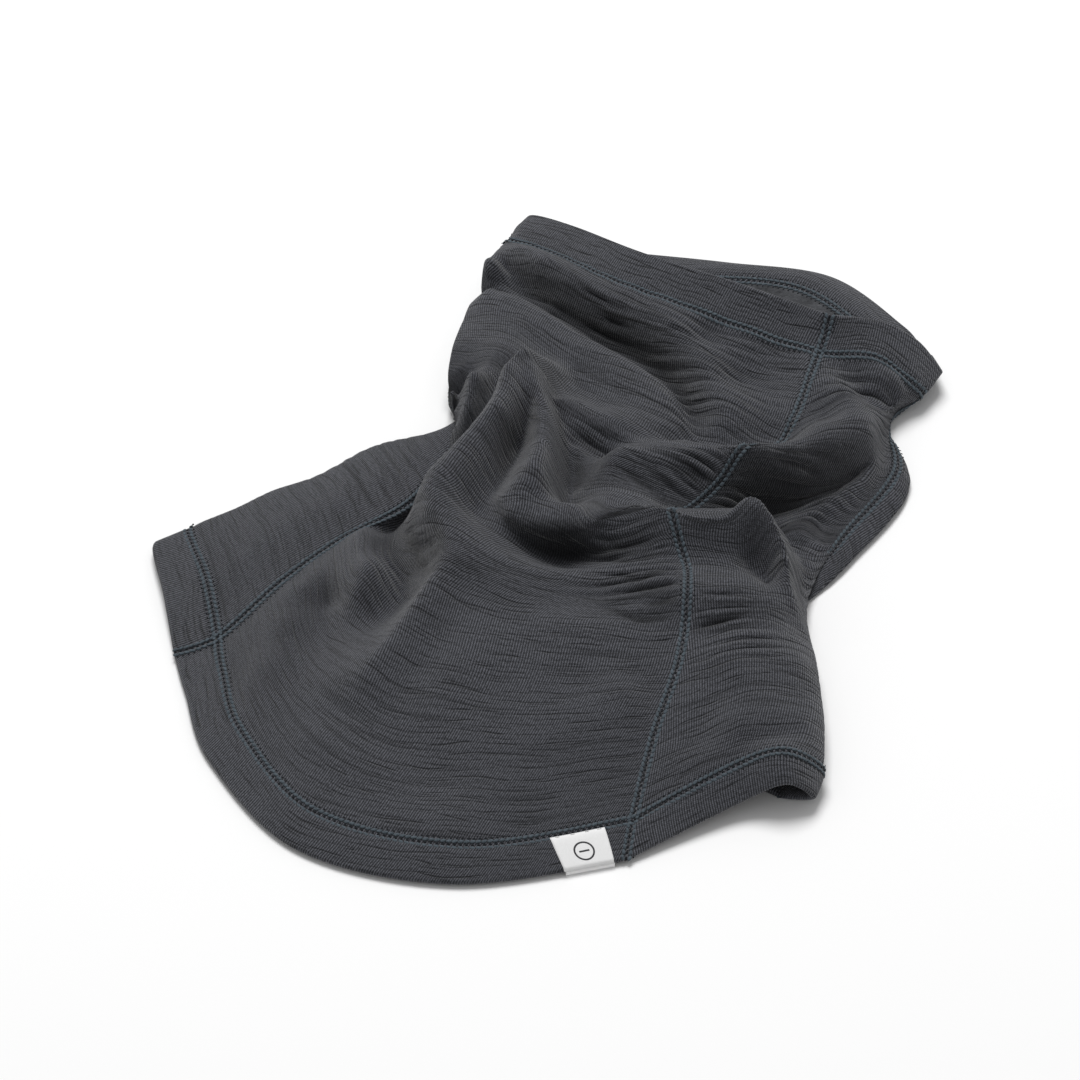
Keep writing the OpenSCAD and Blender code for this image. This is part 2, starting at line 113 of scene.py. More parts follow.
# folds of the crumpled cloth: places along each fold and the height it reaches there
FOLDS = {
    "steep ridge, left edge": [(-36, 62, 57), (-41, 49, 56), (-38, 34, 54), (-38, 20, 53), (-40, 6, 51),
                               (-43, -8, 49), (-47, -22, 47), (-45, -33, 46), (-38, -42, 45), (-27, -50, 44),
                               (-20, -59, 42), (-17, -73, 39), (-19, -85, 36), (-20, -99, 33),
                               (-21, -115, 29), (-24, -132, 24)],
    "steep ridge, left foot": [(-46, 68, 30), (-50, 52, 26), (-48, 36, 20), (-48, 20, 16), (-51, 4, 12),
                               (-55, -12, 10), (-59, -26, 10), (-58, -40, 11), (-50, -54, 12), (-40, -64, 12),
                               (-32, -76, 14), (-34, -92, 16), (-40, -106, 16)],
    "steep ridge, middle": [(-33, 59, 55), (-30, 42, 52), (-27, 22, 51), (-30, 6, 49), (-32, -11, 48),
                            (-33, -24, 46)],
    "steep ridge, right crease": [(-30, 73, 41), (-22, 61, 39), (-13, 47, 37), (-5, 35, 34), (3, 24, 29),
                                  (8, 13, 27), (12, -1, 28)],
    "hollow in the ridge": [(-24, 41, 47), (-23, 32, 40), (-23, 19, 36), (-21, 4, 34), (-17, -10, 34)],
    "small bump in the pocket": [(-31, 60, 54), (-25, 51, 52), (-19, 42, 50), (-11, 30, 49), (-3, 17, 48),
                                 (3, 3, 47), (6, -9, 46), (6, -18, 44)],
    "pocket floor": [(3, 34, 31), (11, 22, 29), (17, 7, 30)],
    "plateau edge": [(-18, 54, 40), (-8, 54, 39), (8, 50, 37), (29, 52, 34), (48, 58, 30)],
    "below the plateau": [(-6, 42, 33), (6, 40, 29), (18, 36, 27)],
    "plateau": [(-36, 104, 30), (-12, 96, 31), (12, 84, 32), (34, 68, 32)],
    "pocket lip": [(-9, -20, 42), (-2, -27, 42), (5, -29, 41), (15, -29, 41), (25, -28, 42), (30, -24, 43),
                   (34, -17, 44), (39, -10, 45), (49, -4, 46), (60, -2, 48), (83, 0, 49), (92, 5, 49),
                   (98, 15, 51), (105, 17, 48), (114, 15, 45), (122, 9, 41), (129, 1, 37), (136, -8, 30)],
    "under the lip": [(-4, -28, 36), (1, -32, 33), (9, -32, 30), (18, -31, 29), (29, -28, 29), (41, -24, 30),
                      (53, -21, 33), (64, -17, 36)],
    "foot of the bib": [(2, -50, 37), (17, -52, 35), (29, -49, 34), (44, -43, 34), (59, -38, 36),
                        (72, -30, 38)],
    "top of the bib": [(10, -56, 36), (32, -56, 33), (52, -48, 32), (74, -42, 37), (92, -38, 39),
                       (112, -24, 38), (128, -20, 33)],
    "cross ridge": [(20, 18, 36), (22, 25, 41), (28, 30, 45), (39, 34, 47), (60, 44, 47), (81, 59, 43),
                    (103, 77, 37), (114, 89, 33), (125, 103, 27), (136, 113, 19), (142, 120, 10)],
    "cross ridge, front slope": [(39, 16, 42), (54, 23, 42), (67, 34, 40), (80, 46, 38), (91, 57, 36),
                                 (101, 70, 32)],
    "valley behind the bib": [(58, 9, 38), (74, 19, 31), (82, 31, 25), (88, 47, 20), (99, 58, 17),
                              (109, 70, 15), (119, 84, 13), (126, 99, 11)],
    "low side": [(103, 42, 16), (111, 57, 13), (121, 70, 12), (127, 83, 10)],
    "behind the bib crest": [(92, 26, 26), (104, 32, 17), (114, 32, 13), (124, 26, 11), (132, 16, 10),
                             (140, 4, 10), (146, -8, 12)],
    "behind the cross ridge": [(44, 56, 32), (60, 62, 30), (78, 72, 28), (92, 86, 27)],
    "crease below the top hem": [(-86, 146, 21), (-72, 140, 21), (-54, 131, 21), (-37, 126, 21),
                                 (-21, 123, 21), (-7, 119, 21), (6, 115, 21), (19, 108, 21), (30, 99, 21),
                                 (40, 88, 22), (49, 77, 24)],
    "plateau, near the crease": [(-85, 125, 24), (-71, 123, 27), (-50, 116, 28), (-34, 110, 28),
                                 (-18, 106, 29), (-4, 103, 29), (10, 98, 29), (22, 91, 29), (32, 82, 29),
                                 (41, 73, 28)],
    "roll below the top hem": [(-86, 151, 26), (-66, 143, 31), (-50, 137, 32), (-34, 133, 32), (-16, 129, 32),
                               (3, 124, 32), (20, 117, 32), (35, 107, 31), (47, 95, 31), (58, 82, 30)],
    "soft rib of the bib": [(-8, -72, 37), (-8, -90, 33), (-9, -110, 28), (-12, -132, 22)],
    "dip left of the soft rib": [(-44, -110, 15), (-50, -126, 13)],
    "bib": [(19, -85, 31), (52, -90, 31), (29, -125, 24), (68, -125, 24), (88, -100, 28), (97, -144, 15),
            (50, -171, 14), (-18, -160, 15), (-56, -145, 11), (-66, -116, 10), (-66, -90, 9)],
    "side of the bib": [(129, -60, 31), (148, -46, 26), (142, -91, 26), (164, -80, 20), (140, -116, 20)],
    "neck crest, right": [(90, 133, 31), (107, 123, 31), (121, 117, 29)],
    "neck hollow, right": [(98, 138, 25), (108, 138, 19), (118, 136, 15)],
    "neck, seam": [(80, 134, 33), (84, 116, 31), (88, 98, 29)],
    "left bulge": [(-84, 104, 23), (-82, 84, 23), (-76, 70, 19), (-68, 84, 29), (-66, 108, 30)],
}

# folds that lean over what lies beside them: lean across, lean along, reach
LEANING = {"pocket lip": (1, -5, 4.2), "plateau, near the crease": (1, 2, 5), "cross ridge": (2, -2, 6),
           "steep ridge, left edge": (-3, 0, 7)}

# folds that close on themselves, where hardly any light gets in: strength, reach
SHUT = {"crease below the top hem": (1.0, 7.0), "under the lip": (1.0, 5.5),
        "valley behind the bib": (1.0, 9.0), "steep ridge, right crease": (0.65, 3.5),
        "hollow in the ridge": (0.75, 5.5), "pocket floor": (0.6, 4.5),
        "steep ridge, left foot": (0.5, 6.0), "below the plateau": (0.6, 5.0)}

# short pleats where the cloth is bunched: strength, reach, lines
PLEATS = {
    "below the top hem": (0.6, 2.2, [[(-90, 145), (-79, 143), (-65, 139), (-55, 136)],
                                     [(-81, 140), (-72, 139), (-57, 134), (-43, 131)],
                                     [(-72, 134), (-58, 132), (-44, 129), (-32, 127)],
                                     [(-58, 124), (-46, 126), (-35, 124), (-25, 123)],
                                     [(-63, 138), (-39, 133), (-13, 128)],
                                     [(-70, 138), (-56, 135), (-40, 132)]]),
    "below the lip": (0.9, 2.4, [[(39, -26), (59, -26), (69, -19)], [(55, -39), (69, -38), (81, -25)],
                                 [(66, -45), (76, -41), (86, -36)], [(78, -49), (84, -46), (90, -42)],
                                 [(39, -19), (51, -19), (64, -13)], [(102, -52), (112, -42), (123, -31)],
                                 [(58, -57), (78, -58), (91, -50)]]),
    "front of the cross ridge": (0.75, 2, [[(34, 18), (44, 17), (53, 17)], [(42, 24), (54, 23), (63, 23)],
                                           [(51, 29), (61, 31), (69, 34)], [(68, 34), (77, 39), (86, 46)],
                                           [(79, 47), (89, 55), (98, 62)], [(91, 62), (99, 68), (110, 77)],
                                           [(101, 73), (112, 83), (122, 92)]]),
    "plateau": (0.4, 1.8, [[(-28, 72), (-20, 88), (1, 82), (18, 72)], [(-27, 69), (-20, 80), (-3, 75)],
                           [(-25, 98), (-6, 96), (12, 88)]]),
    "by the left foot of the steep ridge": (0.7, 3, [[(-34, -46), (-26, -55), (-19, -64)],
                                                     [(-37, -49), (-25, -61), (-18, -71)],
                                                     [(-61, -31), (-37, -55), (-17, -75)]]),
}

# where the cloth is gathered: centre, reach, strength
GATHERS = [((-30, 128), (34, 20), 1.2), ((6, 120), (38, 18), 1.0), ((62, 112), (30, 30), 0.55),
           ((66, -34), (30, 17), 1.3), ((72, 38), (34, 14), 1.0), ((104, 66), (22, 12), 1.0),
           ((-46, -62), (18, 22), 0.5), ((112, -44), (26, 20), 0.8), ((-86, -4), (20, 22), 0.6),
           ((34, 92), (22, 18), 0.8), ((126, 34), (14, 34), 0.5), ((108, 132), (20, 16), 0.7),
           ((8, 42), (20, 10), 0.6)]


def spline_weights(count, t):
    """Weights of a smooth curve through count control points, at the places t."""
    t = np.asarray(t, float)
    i = np.clip(np.floor(t).astype(int), 0, count - 2)
    f = t - i
    w = np.zeros((len(t), count))
    for step, part in ((-1, 0.5 * (-f + 2 * f**2 - f**3)), (0, 0.5 * (2 - 5 * f**2 + 3 * f**3)),
                       (1, 0.5 * (f + 4 * f**2 - 3 * f**3)), (2, 0.5 * (f**3 - f**2))):
        np.add.at(w, (np.arange(len(t)), np.clip(i + step, 0, count - 1)), part)
    return w


def loft(lines, across, along):
    """Points of the smooth surface through a panel's control lines."""
    net = np.array(lines, float)
    return np.einsum("ui,ijk,vj->uvk", spline_weights(net.shape[0], across), net,
                     spline_weights(net.shape[1], along))


def steps(counts):
    """Places along a control line with so many steps between each pair of its points."""
    out = [np.arange(n) / n + i for i, n in enumerate(counts)]
    return np.concatenate(out + [[float(len(counts))]])


def smooth(x, a, b):
    """From 0 at a to 1 at b, with a soft start and end."""
    t = np.clip((x - a) / (b - a), 0, 1)
    return t * t * (3 - 2 * t)


def course_lines(rows, wide, pitch, width, seed):
    """Thin grooves that run across the cloth every so many millimetres, each fading in and out."""
    place_in = rows / pitch + 0.3 * soft_noise(wide / 45, rows / (1.4 * pitch), seed + 5)
    line = np.round(place_in)
    depth = smooth(soft_noise(wide / 26 + line * 17.3, line * 3.7, seed + 6), -0.35, 0.6)
    return depth * np.exp(-((place_in - line) * pitch / width) ** 2)


def soft_noise(x, y, seed):
    """Smooth noise from -1 to 1, one wave per unit."""
    table = np.random.RandomState(seed).uniform(-1, 1, (128, 128))
    i, j = np.floor(x).astype(int), np.floor(y).astype(int)
    f, g = x - i, y - j
    f, g = f * f * (3 - 2 * f), g * g * (3 - 2 * g)
    a, b = table[i % 128, j % 128], table[(i + 1) % 128, j % 128]
    c, d = table[i % 128, (j + 1) % 128], table[(i + 1) % 128, (j + 1) % 128]
    return (a * (1 - f) + b * f) * (1 - g) + (c * (1 - f) + d * f) * g


def dotted(line, gap):
    """Points every so many millimetres along a line."""
    line = np.array(line, float)
    d = np.concatenate([[0], np.cumsum(np.linalg.norm(np.diff(line[:, :2], axis=0), axis=1))])
    at = np.linspace(0, d[-1], max(2, round(d[-1] / gap) + 1))
    return np.stack([np.interp(at, d, line[:, k]) for k in range(line.shape[1])], 1)


class FoldHeights:
    """Height of the crumpled cloth over the floor: first the soft shape, then the sharp folds."""

    REACH = ((34.0, 0.01), (8.0, 0.001))

    def __init__(self, base):
        spots = np.concatenate([self.upright(name, 3.5) for name in FOLDS])
        away = ((base[:, None, :2] - spots[None, :, :2]) ** 2).sum(2).min(1)
        self.at = np.concatenate([spots, base[away > 11.0 ** 2]])
        self.mean = self.at[:, 2].mean()
        rest = self.at[:, 2] - self.mean
        self.layers = []
        for reach, slack in self.REACH:
            k = self.kernel(self.at, reach)
            weights = np.linalg.solve(k + np.eye(len(rest)) * slack, rest)
            rest = rest - k @ weights
            self.layers.append((reach, weights))

    @staticmethod
    def upright(name, gap):
        """Points along a fold where it would stand if it didn't lean."""
        return dotted(FOLDS[name], gap) - [*LEANING.get(name, (0, 0, 0))[:2], 0]

    def lean(self, xy):
        """How far each point is carried sideways by the leaning folds near it."""
        out = np.zeros(xy.shape[:-1] + (2,))
        for name, (dx, dy, reach) in LEANING.items():
            crest = self.upright(name, 2.0)[:, :2]
            away = np.min([((xy[..., :2] - c) ** 2).sum(-1) for c in crest], axis=0)
            out += np.exp(-away / reach ** 2)[..., None] * (dx, dy)
        return out

    def kernel(self, p, reach):
        r = np.sqrt(((p[:, None, :2] - self.at[None, :, :2]) ** 2).sum(2)) / reach
        return np.exp(-r) * (1 + r)

    def __call__(self, xy):
        p = xy.reshape(-1, xy.shape[-1])
        out = [sum(self.kernel(q, reach) @ w for reach, w in self.layers) for q in np.array_split(p, 60)]
        return np.concatenate(out).reshape(xy.shape[:-1]) + self.mean


def normals(p):
    """The way out of the surface at each point of a grid."""
    n = np.cross(np.gradient(p, axis=0), np.gradient(p, axis=1))
    return n / np.maximum(np.linalg.norm(n, axis=2, keepdims=True), 1e-9)


def lengths(p, axis):
    """Distance along the surface from the first row or column of a grid."""
    d = np.linalg.norm(np.diff(p, axis=axis), axis=2)
    first = np.zeros_like(d[:1]) if axis == 0 else np.zeros_like(d[:, :1])
    return np.concatenate([first, np.cumsum(d, axis=axis)], axis=axis)


def place(points):
    """From the layout in millimetres to the frame, in metres."""
    p = np.array(points, float)
    p[..., 0] = (p[..., 0] + LAYOUT[0]) * MM * SPREAD[0] + FOOT.x
    p[..., 1] = (p[..., 1] + LAYOUT[1]) * MM * SPREAD[1] + FOOT.y
    p[..., 2] = p[..., 2] * MM + FOOT.z
    return p


def grid_quads(m, n):
    i, j = np.meshgrid(np.arange(m - 1), np.arange(n - 1), indexing="ij")
    a = (i * n + j).ravel()
    return np.stack([a, a + n, a + n + 1, a + 1], 1)


def make_mesh(name, points, quads, uv, material_of_face, materials, crease=None):
    mesh = bpy.data.meshes.new(name)
    mesh.vertices.add(len(points))
    mesh.vertices.foreach_set("co", points.astype(np.float32).ravel())
    mesh.loops.add(quads.size)
    mesh.loops.foreach_set("vertex_index", quads.astype(np.int32).ravel())
    mesh.polygons.add(len(quads))
    mesh.polygons.foreach_set("loop_start", np.arange(0, quads.size, 4, dtype=np.int32))
    mesh.polygons.foreach_set("loop_total", np.full(len(quads), 4, np.int32))
    mesh.update(calc_edges=True)
    layer = mesh.uv_layers.new(name="cloth")
    layer.data.foreach_set("uv", uv[quads.ravel()].astype(np.float32).ravel())
    if crease is not None:
        # the crease attribute holds the painted shade of creases and shut folds for the material
        attribute = mesh.attributes.new("crease", "FLOAT", "POINT")
        attribute.data.foreach_set("value", crease.astype(np.float32))
    for m in materials:
        mesh.materials.append(m)
    mesh.polygons.foreach_set("material_index", material_of_face.astype(np.int32))
    mesh.polygons.foreach_set("use_smooth", np.ones(len(quads), bool))
    mesh.validate()
    obj = bpy.data.objects.new(name, mesh)
    bpy.context.scene.collection.objects.link(obj)
    return obj


def near(p, lines, reach):
    """How close each point is to the lines, 0 to 1, fading towards their ends."""
    worst = np.zeros(p.shape[:2])
    for line in lines:
        dots = dotted(line, 1.5)[:, :2]
        ends = np.sqrt(np.sin(np.pi * (np.arange(len(dots)) + 0.5) / len(dots)))
        d = ((p[..., None, :2] - dots) ** 2).sum(-1)
        worst = np.maximum(worst, (ends * np.exp(-d / reach ** 2)).max(-1))
    return worst


class Panel:
    """One knitted panel with its turned hems, as a closed sheet."""

    def __init__(self, name, lines, across, along, heights=None, lift=None, centre=None, seed=1, calm=9.0):
        self.name, self.u, self.v = name, across, along
        p = loft(lines, across, along)
        if heights is not None:
            share = lift(across, along)
            lean = heights.lean(p) * share[..., None]
            p[..., 2] += (heights(p) - p[..., 2]) * share
            p[..., :2] += lean
        long = lengths(p, 1)
        wide = lengths(p, 0)
        middle = len(across) // 2 if centre is None else int(np.argmin(abs(across - centre)))
        wide = wide - wide[middle][None]
        rows = long.mean(0)
        self.uv = np.stack([wide, np.broadcast_to(rows, wide.shape)], 2)
        # the cloth is held by the seams at its sides and by the hems
        edge = np.minimum((wide - wide[:1]) * 9.0 / calm, wide[-1:] - wide)
        from_hem = np.minimum(long, long[:, -1:] - long)
        held = smooth(edge, 1.0, 9.0) * smooth(from_hem, 17.0, 27.0)
        gather = np.zeros(wide.shape)
        for (cx, cy), (rx, ry), strength in GATHERS:
            d = ((p[..., 0] - cx) / rx) ** 2 + ((p[..., 1] - cy) / ry) ** 2
            gather = np.maximum(gather, strength * np.exp(-d))
        rows = self.uv[..., 1]
        wander = 4 * soft_noise(wide / 70, rows / 60, seed + 9)
        wander = wander + 1.2 * soft_noise(wide / 24, rows / 20, seed + 8)
        # creases along the courses, then the rolls between them where the cloth is gathered
        grooves = course_lines(rows + wander, wide, 8.3, 1.15, seed)
        grooves = np.maximum(grooves, 0.6 * course_lines(rows + 0.6 * wander + 3, wide, 3.9, 0.8, seed + 1))
        broad = soft_noise(wide / 34, rows / 24, seed + 2)
        rolls = np.abs(np.sin(np.pi * (rows + wander) / 7.0)) - 0.6
        uneven = 0.5 + 0.5 * soft_noise(wide / 16, (rows + wander) / 5.5, seed + 3)
        ripple = 4.2 * gather * uneven * rolls - (0.22 + 0.6 * gather) * grooves
        # painted shade: the course creases and the dips between gathered rolls go into the crease attribute,
        # beside their dents in the cloth
        pleats = np.minimum(gather, 1) * smooth(uneven, 0.35, 0.8) * (1 - smooth(rolls, -0.6, -0.15))
        self.crease = np.maximum(grooves * (0.55 + 0.45 * gather), 0.9 * pleats) * held
        if heights is not None:
            pleats = np.max([k * near(p, lines, reach) for k, reach, lines in PLEATS.values()], axis=0)
            # painted shade along the pleats and in the folds that close on themselves, written into the
            # crease attribute; the pleats also dent the cloth
            shut_fold_shade = np.max([k * near(p, [FOLDS[name]], reach) for name, (k, reach) in SHUT.items()], axis=0)
            ripple -= 1.5 * pleats
            self.crease = np.maximum(self.crease, np.maximum(shut_fold_shade * smooth(share, 0, 0.3), pleats))
        # broad unevenness, none where the cloth lies flat on the floor
        puff = 0.8 * broad * smooth(edge, 2, 16)
        n = normals(p)
        still = smooth(p[..., 2], 1.6, 5.0)
        p = p + n * ((ripple * held + puff * held) * still)[..., None]
        hem = np.maximum(1 - smooth(long, *TURNED), 1 - smooth(long[:, -1:] - long, *TURNED))
        thick = CLOTH + (HEM - CLOTH) * hem
        # thinner at the rounded edges, beside the seams and under the hem's cover stitch
        round_off = np.sqrt(np.clip(1 - (1 - np.clip(from_hem / 1.5, 0, 1)) ** 2, 0.02, 1))
        near_seam = 0.62 + 0.38 * smooth(edge, 1.2, 3.6)
        sewn = 1 - 0.32 * np.exp(-((from_hem - HEM_STITCH) / 2.0) ** 2)
        half = thick * round_off * near_seam * sewn / 2
        self.n = normals(p)
        self.outer = p + self.n * half[..., None]
        self.inner = p - self.n * half[..., None]
        for side in (self.outer, self.inner):
            side[..., 2] = np.maximum(side[..., 2], LOWEST)
        self.mid = p
        self.from_hem = from_hem

    def build(self, outside, inside):
        m, n = len(self.u), len(self.v)
        k = m * n
        top = grid_quads(m, n)
        j, i = np.arange(n - 1), np.arange(m - 1)
        left = np.stack([j, j + 1, j + 1 + k, j + k], 1)
        b = (m - 1) * n
        right = np.stack([b + j + 1, b + j, b + j + k, b + j + 1 + k], 1)
        start = np.stack([(i + 1) * n, i * n, i * n + k, (i + 1) * n + k], 1)
        e = n - 1
        end = np.stack([i * n + e, (i + 1) * n + e, (i + 1) * n + e + k, i * n + e + k], 1)
        quads = np.concatenate([top, top[:, ::-1] + k, left, right, start, end])
        points = place(np.concatenate([self.outer.reshape(-1, 3), self.inner.reshape(-1, 3)]))
        uv = np.concatenate([self.uv.reshape(-1, 2)] * 2) * MM
        inner_face = np.zeros(len(quads))
        rows = np.broadcast_to(self.v, (m, n)).reshape(-1)[top[:, 0]]
        body = (rows > 1.05) & (rows < 7.95)
        inner_face[len(top):2 * len(top)] = body
        self.object = make_mesh(self.name, points, quads, uv, inner_face, [outside, inside],
                                np.concatenate([self.crease.ravel()] * 2))
        return self.object


# ---------------------------------------------------------------- materials
def node_group(name, inputs, outputs):
    group = bpy.data.node_groups.new(name, "ShaderNodeTree")
    for label, kind, value in inputs:
        s = group.interface.new_socket(name=label, in_out="INPUT", socket_type=kind)
        if value is not None:
            s.default_value = value
    for label, kind in outputs:
        group.interface.new_socket(name=label, in_out="OUTPUT", socket_type=kind)
    return group, group.nodes.new("NodeGroupInput"), group.nodes.new("NodeGroupOutput")


class Wiring:
    """Short calls for building a node tree."""

    def __init__(self, tree):
        self.tree = tree

    def node(self, kind, **settings):
        n = self.tree.nodes.new(kind)
        for key, value in settings.items():
            setattr(n, key, value)
        return n

    def feed(self, socket, value):
        if hasattr(value, "is_output"):
            self.tree.links.new(value, socket)
        else:
            socket.default_value = value

    def math(self, operation, a, b=0.0, c=0.0, clamp=False):
        n = self.node("ShaderNodeMath", operation=operation, use_clamp=clamp)
        for socket, value in zip(n.inputs, (a, b, c)):
            self.feed(socket, value)
        return n.outputs[0]

    def noise(self, vector, scale, detail=2.0, rough=0.5):
        n = self.node("ShaderNodeTexNoise", noise_dimensions="3D")
        self.feed(n.inputs["Vector"], vector)
        self.feed(n.inputs["Scale"], scale)
        self.feed(n.inputs["Detail"], detail)
        self.feed(n.inputs["Roughness"], rough)
        return n.outputs["Fac"]

    def vector(self, x, y, z=0.0):
        n = self.node("ShaderNodeCombineXYZ")
        for socket, value in zip(n.inputs, (x, y, z)):
            self.feed(socket, value)
        return n.outputs[0]

    def map_range(self, value, a, b, c=0.0, d=1.0):
        n = self.node("ShaderNodeMapRange", clamp=True)
        for socket, v in zip(n.inputs, (value, a, b, c, d)):
            self.feed(socket, v)
        return n.outputs[0]


def knit_group():
    """Ribs of the knit along the cloth, the loops in them, thin creases across it with painted shade in them,
    flecks in the yarn.
    """
    group, ins, outs = node_group(
        "knit_ribs",
        [("Cloth", "NodeSocketVector", None), ("Crease", "NodeSocketFloat", 0.0),
         ("Rib Pitch mm", "NodeSocketFloat", 1.25), ("Loop Pitch mm", "NodeSocketFloat", 0.95),
         ("Crease Pitch mm", "NodeSocketFloat", 5.6), ("Crease Width mm", "NodeSocketFloat", 0.75)],
        [("Height", "NodeSocketFloat"), ("Shade", "NodeSocketFloat"), ("Fleck", "NodeSocketFloat")])
    w = Wiring(group)
    split = w.node("ShaderNodeSeparateXYZ")
    w.feed(split.inputs[0], ins.outputs["Cloth"])
    across = w.math("MULTIPLY", split.outputs[0], 1000.0)
    along = w.math("MULTIPLY", split.outputs[1], 1000.0)

    def field(x_size, y_size, shift=0.0, detail=1.0):
        spot = w.vector(w.math("DIVIDE", across, x_size), w.math("DIVIDE", along, y_size), shift)
        return w.noise(spot, 1.0, detail)

    rib_at = w.math("ADD", w.math("DIVIDE", across, ins.outputs["Rib Pitch mm"]),
                    w.math("MULTIPLY", field(30, 30), 1.5))
    rib = w.math("MULTIPLY_ADD", w.math("COSINE", w.math("MULTIPLY", rib_at, 2 * math.pi)), 0.5, 0.5)
    slant = w.math("SINE", w.math("MULTIPLY", rib_at, 2 * math.pi))
    loop_at = w.math("ADD", w.math("DIVIDE", along, ins.outputs["Loop Pitch mm"]),
                     w.math("MULTIPLY", slant, 0.3))
    loop = w.math("MULTIPLY_ADD", w.math("SINE", w.math("MULTIPLY", loop_at, 2 * math.pi)), 0.5, 0.5)
    fleck = field(0.9, 1.3, 3.0, 3.0)

    def creases(pitch, width, shift):
        drift = w.math("ADD", w.math("MULTIPLY", field(60, 50, shift), 14.0),
                       w.math("MULTIPLY", field(16, 12, shift), 2.2))
        cell = w.math("DIVIDE", w.math("ADD", along, drift), pitch)
        line = w.math("ROUND", cell)
        gap = w.math("MULTIPLY", w.math("ABSOLUTE", w.math("SUBTRACT", cell, line)), pitch)
        away = w.math("DIVIDE", gap, width)
        thin = w.math("SUBTRACT", 1.0, w.math("MINIMUM", away, 1.0))
        spot = w.vector(w.math("DIVIDE", across, 20.0), w.math("MULTIPLY", line, 3.7), shift)
        run = w.noise(spot, 1.0, 2.0)
        return w.math("MULTIPLY", thin, w.map_range(run, 0.42, 0.62))

    pitch, width = ins.outputs["Crease Pitch mm"], ins.outputs["Crease Width mm"]
    crease = w.math("MAXIMUM", creases(pitch, width, 1.0),
                    w.math("MULTIPLY", creases(w.math("MULTIPLY", pitch, 0.47), width, 9.0), 0.7))
    # painted shade: the thin creases and the crease attribute darken the yarn's colour by up to 0.92
    deep = w.math("MAXIMUM", w.math("MULTIPLY", crease, 0.72), w.math("MULTIPLY", ins.outputs["Crease"], 0.9))
    height = w.math("ADD", w.math("MULTIPLY", rib, 0.5), w.math("MULTIPLY", loop, 0.22))
    height = w.math("ADD", height, w.math("MULTIPLY", fleck, 0.5))
    height = w.math("SUBTRACT", height, w.math("MULTIPLY", crease, 1.1))
    shade = w.math("MULTIPLY", w.math("MULTIPLY_ADD", rib, 0.84, 0.16),
                   w.math("MULTIPLY_ADD", loop, 0.34, 0.66))
    shade = w.math("MULTIPLY", shade, w.math("SUBTRACT", 1.0, w.math("MINIMUM", deep, 0.92)))
    w.feed(outs.inputs["Height"], height)
    w.feed(outs.inputs["Shade"], shade)
    w.feed(outs.inputs["Fleck"], fleck)
    return group


def new_material(name, roughness, sheen=0.0, sheen_roughness=0.5, specular=0.3):
    mat = bpy.data.materials.new(name)
    mat.use_nodes = True
    shader = mat.node_tree.nodes["Principled BSDF"]
    shader.inputs["Roughness"].default_value = roughness
    shader.inputs["Sheen Weight"].default_value = sheen
    shader.inputs["Sheen Roughness"].default_value = sheen_roughness
    shader.inputs["Specular IOR Level"].default_value = specular
    return mat, shader, Wiring(mat.node_tree)


def cloth_coordinates(w):
    return w.node("ShaderNodeUVMap", uv_map="cloth").outputs[0]


def tint(w, factor, dark, light):
    mix = w.node("ShaderNodeMix", data_type="RGBA")
    w.feed(mix.inputs[0], factor)
    mix.inputs[6].default_value = (*dark, 1)
    mix.inputs[7].default_value = (*light, 1)
    return mix.outputs[2]


def knit_material(name, ribs, dark, light, bump):
    """Outside of the cloth: heathered yarn in fine ribs, with painted shade where the crease attribute marks
    creases and shut folds.
    """
    mat, shader, w = new_material(name, 0.92, 0.22, 0.45, 0.15)
    knit = w.node("ShaderNodeGroup", node_tree=ribs)
    w.feed(knit.inputs["Cloth"], cloth_coordinates(w))
    # the crease attribute carries the painted shade of the creases, pleats and shut folds into the colour
    w.feed(knit.inputs["Crease"], w.node("ShaderNodeAttribute", attribute_name="crease").outputs["Fac"])
    tone = w.math("MULTIPLY", knit.outputs["Shade"],
                  w.map_range(knit.outputs["Fleck"], 0.3, 0.7, 0.45, 1.6))
    w.feed(shader.inputs["Base Color"], tint(w, tone, dark, light))
    relief = w.node("ShaderNodeBump")
    relief.inputs["Distance"].default_value = bump * MM
    relief.inputs["Strength"].default_value = 1.0
    w.feed(relief.inputs["Height"], knit.outputs["Height"])
    w.feed(shader.inputs["Normal"], relief.outputs[0])
    return mat


def brushed_material(name):
    """Napped inside of the cloth."""
    mat, shader, w = new_material(name, 1.0, 0.15, 0.6, 0.05)
    where = w.node("ShaderNodeTexCoord").outputs["Object"]
    tufts = w.noise(where, 420.0, 4.0, 0.7)
    clumps = w.noise(where, 130.0, 2.0, 0.5)
    nap = w.math("MULTIPLY_ADD", clumps, 0.8, w.math("MULTIPLY", tufts, 0.6))
    w.feed(shader.inputs["Base Color"], tint(w, w.map_range(nap, 0.4, 0.95), (0.016, 0.017, 0.019),
                                             (0.078, 0.081, 0.089)))
    relief = w.node("ShaderNodeBump")
    relief.inputs["Distance"].default_value = 2.2 * MM
    relief.inputs["Strength"].default_value = 0.9
    w.feed(relief.inputs["Height"], nap)
    w.feed(shader.inputs["Normal"], relief.outputs[0])
    return mat


def plain_yarn(name, dark, light, grain, bump, roughness=0.75, sheen=0.15):
    """Yarn or print of one colour with a fine grain."""
    mat, shader, w = new_material(name, roughness, sheen)
    where = w.node("ShaderNodeTexCoord").outputs["Object"]
    twist = w.noise(where, grain, 3.0, 0.6)
    w.feed(shader.inputs["Base Color"], tint(w, w.map_range(twist, 0.3, 0.7), dark, light))
    relief = w.node("ShaderNodeBump")
    relief.inputs["Distance"].default_value = bump * MM
    w.feed(relief.inputs["Height"], twist)
    w.feed(shader.inputs["Normal"], relief.outputs[0])
    return mat


